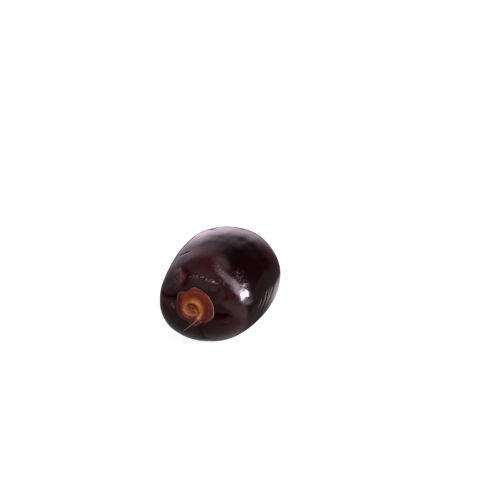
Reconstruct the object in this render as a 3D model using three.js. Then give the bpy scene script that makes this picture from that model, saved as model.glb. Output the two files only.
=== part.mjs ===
// A black date, whole, as picked from its strand and laid on its side.
//
// It is two solids. The fruit is one grown body of skin and flesh. The cap is the dry calyx that
// stays on the stem end, with the ring-shaped scar that the strand leaves on it.
//
// The long axis runs along Y with the stem end at -Y. A place on the skin is given by two angles in
// degrees. The polar angle goes from 0 at the middle of the stem end to 180 at the tip. The turn
// goes round the long axis as seen from the stem end, from 0 at the right to 90 at the top.

import * as THREE from 'three';
import { mergeVertices } from 'three/addons/utils/BufferGeometryUtils.js';

// Driving dimensions, in millimetres.
const LENGTH = 39.5;
const WIDTH = 24.5;
const STEM_HALF = 0.487 * LENGTH; // from the widest section to the stem end
const TIP_HALF = LENGTH - STEM_HALF;
const STEM_FULLNESS = 3.0; // power of the oval: 2 is an ellipse, more is squarer
const TIP_FULLNESS = 2.1;
const SAG = 0.4; // how far its own weight flattens the underside

const CAP_GAP = 0.34; // air between the cap and the skin below it, along the axis
const CAP_RIM_THICKNESS = 0.3;
const CAP_FLOOR_THICKNESS = 0.55;

// The skin's hollow under the cap: a bowl in the middle and a shallow seat round it.
const BOWL_DEPTH = 1.4;
const BOWL_FLOOR_RADIUS = 1.9;
const BOWL_RIM_RADIUS = 3.6;
const SEAT_DEPTH = 0.44;
const SEAT_SLOPE = 0.8; // how far past the cap's edge the skin takes to rise again

// Facets: round the axis, and along it or out from it.
const FRUIT_FACETS = { round: 80, along: 58 };
const CAP_FACETS = { round: 56, outer: 17, inner: 8 };
const SAME_POINT = 1e-4; // corners nearer than this are one corner

// Broad forms of the skin: where they are, how far they reach and how high they stand.
const SWELLINGS = [
  { name: 'upper left flank', at: [88, 112], reach: 8.0, height: 1.0 },
  { name: 'top', at: [95, 80], reach: 8.0, height: 0.5 },
  { name: 'upper right flank', at: [100, 50], reach: 8.0, height: -0.6 },
  { name: 'right flank', at: [66, -35], reach: 8.0, height: 0.15 },
  { name: 'front of the belly', at: [45, -75], reach: 7.0, height: -0.5 },
  { name: 'lower left shoulder', at: [50, -150], reach: 6.5, height: 0.8 },
  { name: 'left flank', at: [70, 165], reach: 7.0, height: -0.3 },
  { name: 'upper left shoulder', at: [60, 115], reach: 6.0, height: -0.55 },
  { name: 'left lobe', at: [30, 130], reach: 2.4, height: 0.45 },
  { name: 'hollow under the lobe', at: [21, 178], reach: 2.2, height: -0.5 },
  { name: 'hollow above the cap', at: [27, 88], reach: 3.0, height: -0.5 },
  { name: 'hollow right of the cap', at: [22, 35], reach: 1.6, height: -0.65 },
  { name: 'bump right of the cap', at: [26, 18], reach: 1.6, height: 0.22 },
  { name: 'right shoulder fold, top', at: [52, 70], reach: 3.6, height: 0.25 },
  { name: 'right shoulder fold, middle', at: [46, 40], reach: 3.8, height: 0.3 },
  { name: 'right shoulder fold, foot', at: [51, -2], reach: 4.2, height: 0.6 },
  { name: 'lower right shoulder', at: [40, -35], reach: 4.0, height: 0.25 },
  { name: 'left shoulder', at: [36, -175], reach: 2.8, height: 0.2 },
  { name: 'far left flank', at: [125, 175], reach: 7.0, height: -0.3 },
  { name: 'far right flank', at: [120, 5], reach: 8.0, height: 0.3 },
  { name: 'back of the crown', at: [140, 95], reach: 6.0, height: 0.3 },
  { name: 'hollow near the tip', at: [150, 30], reach: 4.5, height: -0.3 },
  { name: 'dimple at the tip', at: [180, 0], reach: 1.7, height: -0.55 },
];

// Creases that part the lobes round the stem end: the places they pass, their width and depth.
const CREASES = [
  { name: 'right crease', path: [[15, -23], [21, -17], [27, -15]], width: 1.0, depth: 0.7 },
  { name: 'lower crease', path: [[16, -77], [24, -79], [34, -81]], width: 0.9, depth: 0.24 },
];

// Where the skin bulges over a crease: the places that the edge of the bulge passes, the reach and
// height of the bulge on the right-hand side of the path, and the reach and depth of the crease on
// its left. The bulge is highest at its reach from the edge.
const FOLDS = [
  {
    name: 'left fold', path: [[14, 150], [20, 164], [28, 169], [37, 170], [46, 172]],
    lip: { reach: 1.5, height: 0.22 }, floor: { reach: 1.5, depth: 0.5 },
  },
  {
    name: 'edge of the lobe', path: [[36, 116], [32, 112], [28, 112], [23, 116], [19, 123]],
    lip: { reach: 1.4, height: 0.3 }, floor: { reach: 1.9, depth: 0.42 },
  },
  {
    name: 'collar', path: [[26, 108], [26, 87], [26, 75], [27, 62], [28.5, 51]],
    lip: { reach: 0.8, height: 0.1 }, floor: { reach: 1.1, depth: 0.2 },
  },
  {
    name: 'lower right fold', path: [[15, -34], [19, -29], [24, -24], [27, -21]],
    lip: { reach: 1.4, height: 0.1 }, floor: { reach: 1.1, depth: 0.65 },
  },
];
const FOLD_EDGE = 0.45; // how far to each side of the path the step from bulge to crease reaches
const FOLD_END = 1.0; // how far past the ends of the path a fold takes to fade

// The cap's outline: turn in degrees and radius, at the tips of its lobes and between them.
const CAP_OUTLINE = [
  [93, 4.6], [60, 4.4], [34, 4.35], [2, 4.6], [-25, 4.95], [-50, 4.6], [-68, 4.15],
  [-93, 4.8], [-118, 4.1], [-150, 4.75], [-185, 4.55], [-214, 4.95], [-243, 4.0],
];

// Relief of the cap's outer face, all measured in the stem-end plane. Across is to the right and
// up is upwards from the axis.
const SCAR = { across: -0.9, up: -0.9, ringRadius: 1.45, ringWidth: 0.42, ringHeight: 0.4 };
const SCAR_PIT = { radius: 0.55, depth: 0.3 };
const ARC_RIDGE = { radius: 1.85, width: 0.45, height: 0.35, middle: 50, spread: 75 };
const STRAND_STUB = { across: 0.75, up: -2.75, reach: 0.5, height: 0.35 };
const RIM_LIFT = { height: 0.16, power: 6, lobes: 5, start: 1.2 }; // the papery edge's upward curls

const degrees = (angle) => THREE.MathUtils.radToDeg(angle);
const radians = (angle) => THREE.MathUtils.degToRad(angle);
const bell = (x) => Math.exp(-x * x);
const signedPower = (x, power) => Math.sign(x) * Math.abs(x) ** power;

// The plain oval of revolution that the fruit starts from: a point and its outward direction.
function ovalPoint(polar, turn) {
  const stemSide = polar < 90;
  const fullness = stemSide ? STEM_FULLNESS : TIP_FULLNESS;
  const half = stemSide ? STEM_HALF : TIP_HALF;
  const along = -signedPower(Math.cos(radians(polar)), 2 / fullness);
  const out = Math.abs(Math.sin(radians(polar))) ** (2 / fullness);
  const side = [Math.cos(radians(turn)), Math.sin(radians(turn))];
  const slopeAlong = signedPower(along, fullness - 1) / half;
  const slopeOut = out ** (fullness - 1) / (WIDTH / 2);
  const radius = (out * WIDTH) / 2;
  return {
    point: new THREE.Vector3(side[0] * radius, along * half, side[1] * radius),
    outward: new THREE.Vector3(side[0] * slopeOut, slopeAlong, side[1] * slopeOut).normalize(),
  };
}

function onOval([polar, turn]) {
  return ovalPoint(polar, turn).point;
}

// Each form is placed once, as points on the plain oval.
const placedSwellings = SWELLINGS.map((form) => ({ ...form, centre: onOval(form.at) }));
const placedCreases = CREASES.map((form) => ({ ...form, stretches: stretchesOf(form.path) }));
const placedFolds = FOLDS.map((form) => ({ ...form, stretches: stretchesOf(form.path) }));

// The straight stretches of a path, each with the direction that is to its right from outside.
function stretchesOf(path) {
  const places = path.map(([polar, turn]) => ovalPoint(polar, turn));
  return places.slice(1).map((end, i) => {
    const line = new THREE.Line3(places[i].point, end.point);
    return { line, right: line.delta(new THREE.Vector3()).cross(places[i].outward).normalize() };
  });
}

// The distance from a point to the nearest stretch, and how far to the right of it the point is.
function besidePath(point, stretches) {
  const nearest = new THREE.Vector3();
  const beside = { distance: Infinity, offset: 0 };
  for (const { line, right } of stretches) {
    const distance = line.closestPointToPoint(point, true, nearest).distanceTo(point);
    if (distance < beside.distance) {
      beside.distance = distance;
      beside.offset = nearest.subVectors(point, line.start).dot(right);
    }
  }
  return beside;
}

// How far a fold lifts or sinks the skin at a point of the oval. It fades past the path's ends.
function foldRelief(point, { stretches, lip, floor }) {
  const { distance, offset } = besidePath(point, stretches);
  const pastEnds = Math.sqrt(Math.max(distance * distance - offset * offset, 0));
  const onLip = THREE.MathUtils.smoothstep(offset, -FOLD_EDGE, FOLD_EDGE);
  const lipHeight = lip.height * bell(offset / lip.reach - 1);
  const floorDepth = floor.depth * bell(offset / floor.reach);
  return bell(pastEnds / FOLD_END) * THREE.MathUtils.lerp(-floorDepth, lipHeight, onLip);
}

// The cap's radius at a turn, eased between the points of its outline.
function capRadius(turn) {
  const count = CAP_OUTLINE.length;
  for (let i = 0; i < count; i += 1) {
    const [startTurn, startRadius] = CAP_OUTLINE[i];
    const [endTurn, endRadius] = CAP_OUTLINE[(i + 1) % count];
    const span = THREE.MathUtils.euclideanModulo(startTurn - endTurn, 360);
    const passed = THREE.MathUtils.euclideanModulo(startTurn - turn, 360);
    if (passed <= span) {
      return THREE.MathUtils.lerp(startRadius, endRadius, (1 - Math.cos((Math.PI * passed) / span)) / 2);
    }
  }
  throw new Error('the outline must go once round the cap');
}

// How deep the skin is sunk under the cap at a radius and turn of the stem end.
function hollowDepth(radius, turn) {
  const edge = capRadius(turn);
  const { smoothstep } = THREE.MathUtils;
  const bowl = BOWL_DEPTH * (1 - smoothstep(radius, BOWL_FLOOR_RADIUS, BOWL_RIM_RADIUS));
  return bowl + SEAT_DEPTH * (1 - smoothstep(radius, edge, edge + SEAT_SLOPE));
}

// The finished skin: the oval, moved along its outward direction by every form on it.
function skinPoint(polar, turn) {
  const { point, outward } = ovalPoint(polar, turn);
  let relief = 0;
  for (const { centre, reach, height } of placedSwellings) {
    relief += height * bell(point.distanceTo(centre) / reach);
  }
  for (const { stretches, width, depth } of placedCreases) {
    relief -= depth * bell(besidePath(point, stretches).distance / width);
  }
  for (const fold of placedFolds) relief += foldRelief(point, fold);
  if (point.y < 0) relief -= hollowDepth(Math.hypot(point.x, point.z), turn);
  const skin = point.addScaledVector(outward, relief);
  skin.z = Math.max(skin.z, SAG - WIDTH / 2);
  return skin;
}

// A closed geometry with plain shared corners, each moved to where place(corner) says.
function moulded(geometry, place) {
  geometry.deleteAttribute('normal');
  geometry.deleteAttribute('uv');
  const corners = geometry.getAttribute('position');
  const corner = new THREE.Vector3();
  for (let i = 0; i < corners.count; i += 1) {
    corner.fromBufferAttribute(corners, i);
    const placed = place(corner);
    corners.setXYZ(i, placed.x, placed.y, placed.z);
  }
  const merged = mergeVertices(geometry, SAME_POINT);
  merged.computeVertexNormals();
  return merged;
}

function makeFruit() {
  const ball = new THREE.SphereGeometry(1, FRUIT_FACETS.round, FRUIT_FACETS.along);
  const geometry = moulded(ball, (corner) => {
    const polar = degrees(Math.acos(THREE.MathUtils.clamp(-corner.y, -1, 1)));
    return skinPoint(polar, degrees(Math.atan2(corner.z, corner.x)));
  });
  const skin = new THREE.MeshStandardMaterial({ color: 0x2a1418, roughness: 0.34, metalness: 0 });
  const fruit = new THREE.Mesh(geometry, skin);
  fruit.name = 'fruit';
  return fruit;
}

// How thick the cap is over its underside, from its relief seen face on.
function capThickness(across, up, share) {
  const fromScar = Math.hypot(across - SCAR.across, up - SCAR.up);
  const round = degrees(Math.atan2(up - SCAR.up, across - SCAR.across));
  const offArc = THREE.MathUtils.euclideanModulo(round - ARC_RIDGE.middle + 180, 360) - 180;
  const fromStub = Math.hypot(across - STRAND_STUB.across, up - STRAND_STUB.up);
  const turn = Math.atan2(up, across);
  const arc = bell((fromScar - ARC_RIDGE.radius) / ARC_RIDGE.width) * bell(offArc / ARC_RIDGE.spread);
  return (
    THREE.MathUtils.lerp(CAP_FLOOR_THICKNESS, CAP_RIM_THICKNESS, share) +
    SCAR.ringHeight * bell((fromScar - SCAR.ringRadius) / SCAR.ringWidth) -
    SCAR_PIT.depth * bell(fromScar / SCAR_PIT.radius) +
    ARC_RIDGE.height * arc +
    STRAND_STUB.height * bell(fromStub / STRAND_STUB.reach) +
    RIM_LIFT.height * share ** RIM_LIFT.power * (1 + Math.cos(RIM_LIFT.lobes * turn + RIM_LIFT.start)) * 0.5
  );
}

// The profile runs out along the outer face, round the rim and back along the underside. Its
// first number is the share of the way to the rim and its second is -1 outside and 1 underneath.
function capProfile() {
  const profile = [];
  for (let i = 0; i <= CAP_FACETS.outer; i += 1) {
    profile.push(new THREE.Vector2(i / CAP_FACETS.outer, -1));
  }
  for (let i = CAP_FACETS.inner; i >= 0; i -= 1) {
    profile.push(new THREE.Vector2(i / CAP_FACETS.inner, 1));
  }
  return profile;
}

function capPoint(corner) {
  const share = Math.hypot(corner.x, corner.z);
  const turn = degrees(Math.atan2(corner.z, corner.x));
  const radius = share * capRadius(turn);
  const polar = degrees(Math.asin((radius / (WIDTH / 2)) ** (STEM_FULLNESS / 2)));
  const point = skinPoint(polar, turn);
  const thickness = corner.y < 0 ? capThickness(point.x, point.z, share) : 0;
  point.y -= CAP_GAP + thickness;
  return point;
}

function makeCap() {
  const disc = new THREE.LatheGeometry(capProfile(), CAP_FACETS.round);
  const husk = new THREE.MeshStandardMaterial({ color: 0x8a4a22, roughness: 0.6, metalness: 0 });
  const cap = new THREE.Mesh(moulded(disc, capPoint), husk);
  cap.name = 'calyx_cap';
  return cap;
}

// The origin is under the middle of the date, on the surface that it lies on.
function standOnOrigin(group) {
  const box = new THREE.Box3().setFromObject(group);
  const middle = box.getCenter(new THREE.Vector3());
  group.position.set(-middle.x, -middle.y, -box.min.z);
  return group;
}

const date = new THREE.Group();
date.name = 'black_date';
date.add(makeFruit(), makeCap());
standOnOrigin(date);

export default date;
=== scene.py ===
# %% [markdown]
# A whole black date, lying on its side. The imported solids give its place, its size and its main
# forms. This script grows a finer skin and a finer cap over them, then adds their colour, the
# loose fibre on the cap, the floor, the light round it and the camera.
#
# Lengths are in millimetres until a mesh is finished, because that is how a date is measured. A
# finished mesh is in metres, as the frame is.

import math

import bmesh
import bpy
import numpy as np
from mathutils import Matrix, Vector, noise


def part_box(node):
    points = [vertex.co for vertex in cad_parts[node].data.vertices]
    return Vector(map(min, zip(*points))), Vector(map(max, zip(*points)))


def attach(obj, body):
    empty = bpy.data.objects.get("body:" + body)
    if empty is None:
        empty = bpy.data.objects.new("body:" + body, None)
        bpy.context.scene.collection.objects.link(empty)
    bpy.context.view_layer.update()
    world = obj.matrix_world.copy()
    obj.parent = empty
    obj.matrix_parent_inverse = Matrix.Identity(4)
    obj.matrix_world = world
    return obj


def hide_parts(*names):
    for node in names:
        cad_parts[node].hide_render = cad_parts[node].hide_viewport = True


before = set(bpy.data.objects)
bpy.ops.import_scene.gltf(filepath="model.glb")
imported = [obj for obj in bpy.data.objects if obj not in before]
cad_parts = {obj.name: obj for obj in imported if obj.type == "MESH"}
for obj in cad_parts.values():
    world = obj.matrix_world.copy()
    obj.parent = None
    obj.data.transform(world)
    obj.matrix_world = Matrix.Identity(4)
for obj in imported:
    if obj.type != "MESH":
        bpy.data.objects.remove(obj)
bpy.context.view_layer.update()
MM = 0.001
print("frame nodes:", sorted(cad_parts))

# %% [markdown]
# The fruit starts as a plain oval of revolution. Its two halves are superellipses: the stem half
# is blunt and the tip half is close to an ellipse. Any place on the skin is then given by two
# angles, as on a globe: the polar angle counts from the middle of the stem end to the tip, and the
# turn goes round the long axis, from 0 at the right to 90 at the top.

# %% The oval
LENGTH = 39.5
WIDTH = 24.5
STEM_HALF = 0.487 * LENGTH
TIP_HALF = LENGTH - STEM_HALF
STEM_FULLNESS = 3.0
TIP_FULLNESS = 2.1
SAG = 0.4  # how much the date's own weight flattens it underneath
NEARLY_ZERO = 1e-9  # keeps the poles, where the radius is zero, from a division by zero


def oval(polar, turn):
    """Points of the oval, in millimetres, for polar angles and turns in degrees."""
    polar, turn = np.radians(polar), np.radians(turn)
    stem_side = np.cos(polar) > 0
    fullness = np.where(stem_side, STEM_FULLNESS, TIP_FULLNESS)
    half = np.where(stem_side, STEM_HALF, TIP_HALF)
    along = -np.sign(np.cos(polar)) * half * np.abs(np.cos(polar)) ** (2 / fullness)
    out = WIDTH / 2 * np.abs(np.sin(polar)) ** (2 / fullness)
    return np.stack([out * np.cos(turn), along, out * np.sin(turn)], axis=-1)


def oval_outward(points):
    """The oval's outward direction at points on it."""
    along = points[:, 1]
    out = np.hypot(points[:, 0], points[:, 2])
    fullness = np.where(along < 0, STEM_FULLNESS, TIP_FULLNESS)
    half = np.where(along < 0, STEM_HALF, TIP_HALF)
    slope_along = np.sign(along) * np.abs(along / half) ** (fullness - 1) / half
    slope_out = (out / (WIDTH / 2)) ** (fullness - 1) / (WIDTH / 2)
    spread = slope_out / np.maximum(out, NEARLY_ZERO)
    direction = np.stack([points[:, 0] * spread, slope_along, points[:, 2] * spread], axis=-1)
    return direction / np.linalg.norm(direction, axis=1, keepdims=True)


print("oval:", LENGTH, "mm long,", WIDTH, "mm wide")

# %% [markdown]
# On the real date the skin loosened as the flesh dried, so it fell into lobes round the stem end
# with creases between them. Each broad form is one soft bell-shaped rise or dip with a centre, a
# reach and a height. Each crease is a short path with a width and a depth. A fold is a path too:
# on one side of it the skin bulges, and on the other it drops into a crease, with a steep step in
# between. Sculpting by such lists keeps every form editable and gives the same skin on every run.

# %% Broad forms of the skin
# Name, polar angle, turn, reach and height.
SWELLINGS = [
    ("upper left flank", 88, 112, 8.0, 1.0),
    ("top", 95, 80, 8.0, 0.5),
    ("upper right flank", 100, 50, 8.0, -0.6),
    ("right flank", 66, -35, 8.0, 0.15),
    ("front of the belly", 45, -75, 7.0, -0.5),
    ("lower left shoulder", 50, -150, 6.5, 0.8),
    ("left flank", 70, 165, 7.0, -0.3),
    ("upper left shoulder", 60, 115, 6.0, -0.55),
    ("left lobe", 30, 130, 2.4, 0.45),
    ("hollow under the lobe", 21, 178, 2.2, -0.5),
    ("hollow above the cap", 27, 88, 3.0, -0.5),
    ("hollow right of the cap", 22, 35, 1.6, -0.65),
    ("bump right of the cap", 26, 18, 1.6, 0.22),
    ("right shoulder fold, top", 52, 70, 3.6, 0.25),
    ("right shoulder fold, middle", 46, 40, 3.8, 0.3),
    ("right shoulder fold, foot", 51, -2, 4.2, 0.6),
    ("lower right shoulder", 40, -35, 4.0, 0.25),
    ("left shoulder", 36, -175, 2.8, 0.2),
    ("far left flank", 125, 175, 7.0, -0.3),
    ("far right flank", 120, 5, 8.0, 0.3),
    ("back of the crown", 140, 95, 6.0, 0.3),
    ("hollow near the tip", 150, 30, 4.5, -0.3),
    ("dimple at the tip", 180, 0, 1.7, -0.55),
]
# Name, the places that the crease passes as polar angle and turn, width and depth.
CREASES = [
    ("right crease", [(15, -24), (21, -18), (27, -16)], 0.92, 0.7),
    ("lower crease", [(16, -77), (24, -79), (34, -81)], 0.9, 0.24),
]
# Where the skin bulges over a crease: name, the places that the edge of the bulge passes, the reach
# and height of the bulge on the right-hand side of the path, and the reach and depth of the crease
# on its left. The bulge is highest at its reach from the edge.
FOLDS = [
    ("left fold", [(14, 150), (20, 164), (28, 169), (37, 170), (46, 172)], 1.5, 0.22, 1.5, 0.5),
    ("edge of the lobe", [(36, 116), (32, 112), (28, 112), (23, 116), (19, 123)], 1.4, 0.3, 1.9, 0.42),
    ("collar", [(26, 108), (26, 87), (26, 75), (27, 62), (28.5, 51)], 0.8, 0.1, 1.1, 0.2),
    ("lower right fold", [(15, -34), (19, -29), (24, -24), (27, -21)], 1.4, 0.1, 1.1, 0.65),
]
FOLD_EDGE = 0.22  # how far to each side of the path the step from bulge to crease reaches
FOLD_END = 1.0  # how far past the ends of the path a fold takes to fade


def bell(x):
    """A soft peak: 1 at 0, about a third at 1 and almost nothing from 2 on."""
    return np.exp(-x * x)


def smooth(x, low, high):
    """A share that eases from 0 at low to 1 at high."""
    share = np.clip((x - low) / (high - low), 0, 1)
    return share * share * (3 - 2 * share)


def path_points(path):
    """The points of the oval at the places of a path."""
    return np.array([oval(*place) for place in path])


def crease_paths(creases):
    """The path of each crease, as points of the oval, with its width and depth."""
    return [(path_points(path), width, depth) for _, path, width, depth in creases]


def distance_to_stretch(points, start, end):
    """The distance from each point to one straight stretch."""
    step = end - start
    share = np.clip((points - start) @ step / (step @ step), 0, 1)
    return np.linalg.norm(points - start - share[:, None] * step, axis=1)


def distance_to_path(points, path):
    """The shortest distance from each point to a path of straight stretches."""
    return np.min([distance_to_stretch(points, *ends) for ends in zip(path[:-1], path[1:])], axis=0)


def side_of_path(points, path):
    """How far each point is to the right of a path, seen from outside, and how far past its ends."""
    nearest = np.full(len(points), np.inf)
    offset = np.zeros(len(points))
    for start, end in zip(path[:-1], path[1:]):
        gap = distance_to_stretch(points, start, end)
        right = np.cross(end - start, oval_outward(start[None])[0])
        here = gap < nearest
        offset[here] = ((points - start) @ (right / np.linalg.norm(right)))[here]
        nearest = np.minimum(nearest, gap)
    return offset, np.sqrt(np.maximum(nearest * nearest - offset * offset, 0))


def fold_shares(points, path):
    """How far points are to the right of a fold's edge, and a share that fades past its ends."""
    offset, past_ends = side_of_path(points, path_points(path))
    return offset, bell(past_ends / FOLD_END)


def fold_relief(points, path, lip_reach, lip_height, floor_reach, floor_depth):
    """The bulge on the right of a fold's edge and the crease on its left."""
    offset, share = fold_shares(points, path)
    on_lip = smooth(offset, -FOLD_EDGE, FOLD_EDGE)
    lip = lip_height * bell(offset / lip_reach - 1)
    return share * (on_lip * lip - (1 - on_lip) * floor_depth * bell(offset / floor_reach))


def near_places(points, places):
    """The sum of the soft spots round the places, each with its own reach and amount."""
    total = np.zeros(len(points))
    for _, polar, turn, reach, amount in places:
        total += amount * bell(np.linalg.norm(points - oval(polar, turn), axis=1) / reach)
    return total


def broad_relief(points):
    """The height of all the broad forms at points of the oval."""
    relief = near_places(points, SWELLINGS)
    for path, width, depth in crease_paths(CREASES):
        relief -= depth * bell(distance_to_path(points, path) / width)
    for _, *fold in FOLDS:
        relief += fold_relief(points, *fold)
    return relief


print(len(SWELLINGS), "swellings,", len(CREASES), "creases and", len(FOLDS), "folds")

# %% [markdown]
# The cap sits in a hollow of the stem end: a bowl in the middle and a shallow seat that follows
# the cap's lobed edge. The outline of the cap is therefore needed before the skin is made. Only
# the tips of its lobes and the notches between them are given, and the radius eases from one to
# the next, as the edge of a dry petal does.

# %% The cap's outline and the hollow under it
# Turn and radius at the tips of the lobes and at the notches, clockwise from the top.
CAP_OUTLINE = [
    (93, 4.6), (60, 4.4), (34, 4.35), (2, 4.6), (-25, 4.95), (-50, 4.6), (-68, 4.15),
    (-93, 4.8), (-118, 4.1), (-150, 4.75), (-185, 4.55), (-214, 4.95), (-243, 4.0),
]
BOWL_DEPTH = 1.4
BOWL_FLOOR_RADIUS = 1.9
BOWL_RIM_RADIUS = 3.6
SEAT_DEPTH = 0.18
SEAT_SLOPE = 0.35


def cap_radius(turn):
    """The cap's radius at turns in degrees, eased between the points of its outline."""
    radius = np.zeros_like(turn)
    following = CAP_OUTLINE[1:] + CAP_OUTLINE[:1]
    for (start, start_radius), (end, end_radius) in zip(CAP_OUTLINE, following):
        span = (start - end) % 360
        passed = (start - turn) % 360
        ease = (1 - np.cos(np.pi * passed / span)) / 2
        here = passed <= span
        radius[here] = (start_radius + (end_radius - start_radius) * ease)[here]
    return radius


def hollow_depth(points):
    """How deep the skin is sunk under the cap, for points of the oval."""
    out = np.hypot(points[:, 0], points[:, 2])
    edge = cap_radius(np.degrees(np.arctan2(points[:, 2], points[:, 0])))
    bowl = BOWL_DEPTH * (1 - smooth(out, BOWL_FLOOR_RADIUS, BOWL_RIM_RADIUS))
    seat = SEAT_DEPTH * (1 - smooth(out, edge, edge + SEAT_SLOPE))
    return np.where(points[:, 1] < 0, bowl + seat, 0)


print("cap radius from", min(r for _, r in CAP_OUTLINE), "to", max(r for _, r in CAP_OUTLINE), "mm")

# %% [markdown]
# The base mesh could be a sphere, but a sphere's rings crowd at the poles and stretch over a blunt
# end. Spinning a profile instead puts the rings where they are wanted: here they are evenly spaced
# along the skin, about a fifth of a millimetre apart, so that the finest wrinkles have enough
# points everywhere.

# %% Spin the oval
PROFILE_STEPS = 264
TURN_STEPS = 350
PROFILE_SAMPLES = 4001  # how finely the outline's length is measured
MERGE_DISTANCE = 1e-4


def even_profile(steps):
    """Points of the oval's outline from stem end to tip, evenly spaced along it."""
    fine = oval(np.linspace(0, 180, PROFILE_SAMPLES), np.zeros(PROFILE_SAMPLES))
    length = np.concatenate([[0], np.cumsum(np.linalg.norm(np.diff(fine, axis=0), axis=1))])
    wanted = np.linspace(0, length[-1], steps + 1)
    return np.stack([np.interp(wanted, length, fine[:, axis]) for axis in range(3)], axis=-1)


def spin_profile(profile, steps):
    """A closed mesh, in millimetres, from a profile that starts and ends on the Y axis."""
    bm = bmesh.new()
    line = [bm.verts.new(point) for point in profile]
    for start, end in zip(line[:-1], line[1:]):
        bm.edges.new((start, end))
    bmesh.ops.spin(
        bm, geom=bm.verts[:] + bm.edges[:], cent=(0, 0, 0), axis=(0, 1, 0),
        angle=math.tau, steps=steps, use_merge=True,
    )
    bmesh.ops.remove_doubles(bm, verts=bm.verts[:], dist=MERGE_DISTANCE)
    bmesh.ops.recalc_face_normals(bm, faces=bm.faces[:])
    return bm


def to_object(bm, name):
    """A smooth-shaded object that holds the finished bmesh."""
    mesh = bpy.data.meshes.new(name)
    bm.to_mesh(mesh)
    bm.free()
    mesh.shade_smooth()
    obj = bpy.data.objects.new(name, mesh)
    bpy.context.scene.collection.objects.link(obj)
    return obj


def read_points(obj):
    """The mesh's points, as rows of x, y and z."""
    points = np.empty(len(obj.data.vertices) * 3)
    obj.data.vertices.foreach_get("co", points)
    return points.reshape(-1, 3)


def write_points(obj, points):
    """Moves the mesh's points to the given rows."""
    obj.data.vertices.foreach_set("co", points.ravel())
    obj.data.update()


skin = to_object(spin_profile(even_profile(PROFILE_STEPS), TURN_STEPS), "date_skin")
print("skin points:", len(skin.data.vertices))

# %% [markdown]
# Over the broad forms lie the small ones. The floor of each deep crease is a sharper fold, and
# short wrinkles cross the crown, the right flank and the skin above the cap. The flanks have faint
# ripples and, in places, fine lines that run along the date, and a few spots are crinkled like old
# leather. A bump map alone could fake all this, but real relief also bends the highlights and
# shows at the outline, and it stays in the exported mesh.

# %% Fine wrinkles
# Name, the places that the wrinkle passes, width and depth. A negative depth is a ridge.
WRINKLES = [
    ("floor of the left fold", [(20, 164), (28, 170), (37, 171), (46, 172)], 0.26, 0.14),
    ("floor of the right crease", [(15, -27), (20, -22), (25, -19)], 0.35, 0.2),
    ("ridge in the right crease", [(20, -10), (25, -12), (31, -10)], 0.3, -0.14),
    ("floor of the lower crease", [(18, -77), (34, -81)], 0.3, 0.08),
    ("short crack on the crown", [(67, 129), (65, 122), (64.5, 115)], 0.3, 0.1),
    ("wrinkle above the cap", [(25, 103), (26.5, 95), (26, 87), (26, 75), (27, 62), (28, 54)], 0.24, 0.12),
    ("branch of it", [(30, 96), (29, 84), (31, 72)], 0.2, 0.07),
    ("nick at the top", [(89.2, 102.5), (90.3, 99.5)], 0.28, 0.2),
    ("right flank, first", [(72, -26), (74.6, -10), (77, -5)], 0.4, 0.07),
    ("right flank, second", [(79, -33), (81.6, -14), (85, -2)], 0.5, 0.12),
    ("right flank, third", [(86, -32), (88, -14), (91, -3)], 0.45, 0.1),
]
RIDGE_BESIDE = 2.2  # a wrinkle's raised lip is this many widths away from its floor
RIDGE_SHARE = 0.2  # the height of that lip, as a share of the wrinkle's depth


def wrinkle_relief(points):
    """The wrinkles, each with a low lip on both sides that ends where the wrinkle does."""
    relief = np.zeros(len(points))
    for path, width, depth in crease_paths(WRINKLES):
        gap = distance_to_path(points, path) / width
        _, past_ends = side_of_path(points, path)
        ridge = bell(gap - RIDGE_BESIDE) * bell(past_ends / width)
        relief += depth * (RIDGE_SHARE * ridge - bell(gap))
    return relief


plain = read_points(skin)
wrinkles = wrinkle_relief(plain)
print(len(WRINKLES), "wrinkles, the deepest", -wrinkles.min().round(2), "mm")

# %% Ripples, lines and crinkles
# Places where the skin is finely crinkled: name, polar angle, turn, reach and height.
CRINKLED = [
    ("foot of the right fold", 50, 14, 2.6, 0.006),
    ("middle of the right fold", 44, 38, 2.4, 0.004),
    ("above the cap", 27, 90, 1.6, 0.04),
    ("above the cap, right", 27, 68, 1.6, 0.04),
    ("right flank", 62, 18, 3.0, 0.003),
]
# Places with fine lines along the date: name, polar angle, turn, reach and height.
LINED = [
    ("right flank", 87, -16, 4.5, 0.03),
    ("far right flank", 112, -25, 7.0, 0.004),
    ("far upper right flank", 122, 25, 7.0, 0.003),
    ("left flank, low", 95, -150, 8.0, 0.004),
    ("belly", 80, -95, 8.0, 0.004),
    ("near the tip", 150, 140, 7.0, 0.003),
]
LINES_ROUND = 64  # how many of those lines there are, all the way round the date
LINE_RISE = 0.1  # how much they climb round it, in radians a millimetre
LINE_WANDER = 3  # how far the ripples push them aside, in radians of their wave
RIPPLE_SIZE = (2.2, 9.0, 2.2)  # across, along and up
RIPPLE_HEIGHT = 0.04
RIPPLE_STARTS, RIPPLE_FULL = 7, 11  # how far from the long axis
LUMP_SIZE = 5.0
LUMP_HEIGHT = 0.07
CRINKLE_SIZE = 0.7
CRINKLE_HEIGHT = 0.005
# Each octave of the noise is twice as fine as the one before and half as strong.
NOISE_FALL = 1.0
NOISE_STEP = 2.0


def grain(points, size, octaves, shift=0):
    """Fractal noise from about -1 to 1, for a grain of that size in millimetres.

    Grains with different shifts read different parts of the noise, so they don't rise together.
    """
    places = (points + shift) / size
    return np.array([noise.fractal(Vector(p), NOISE_FALL, NOISE_STEP, octaves) for p in places])


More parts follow.
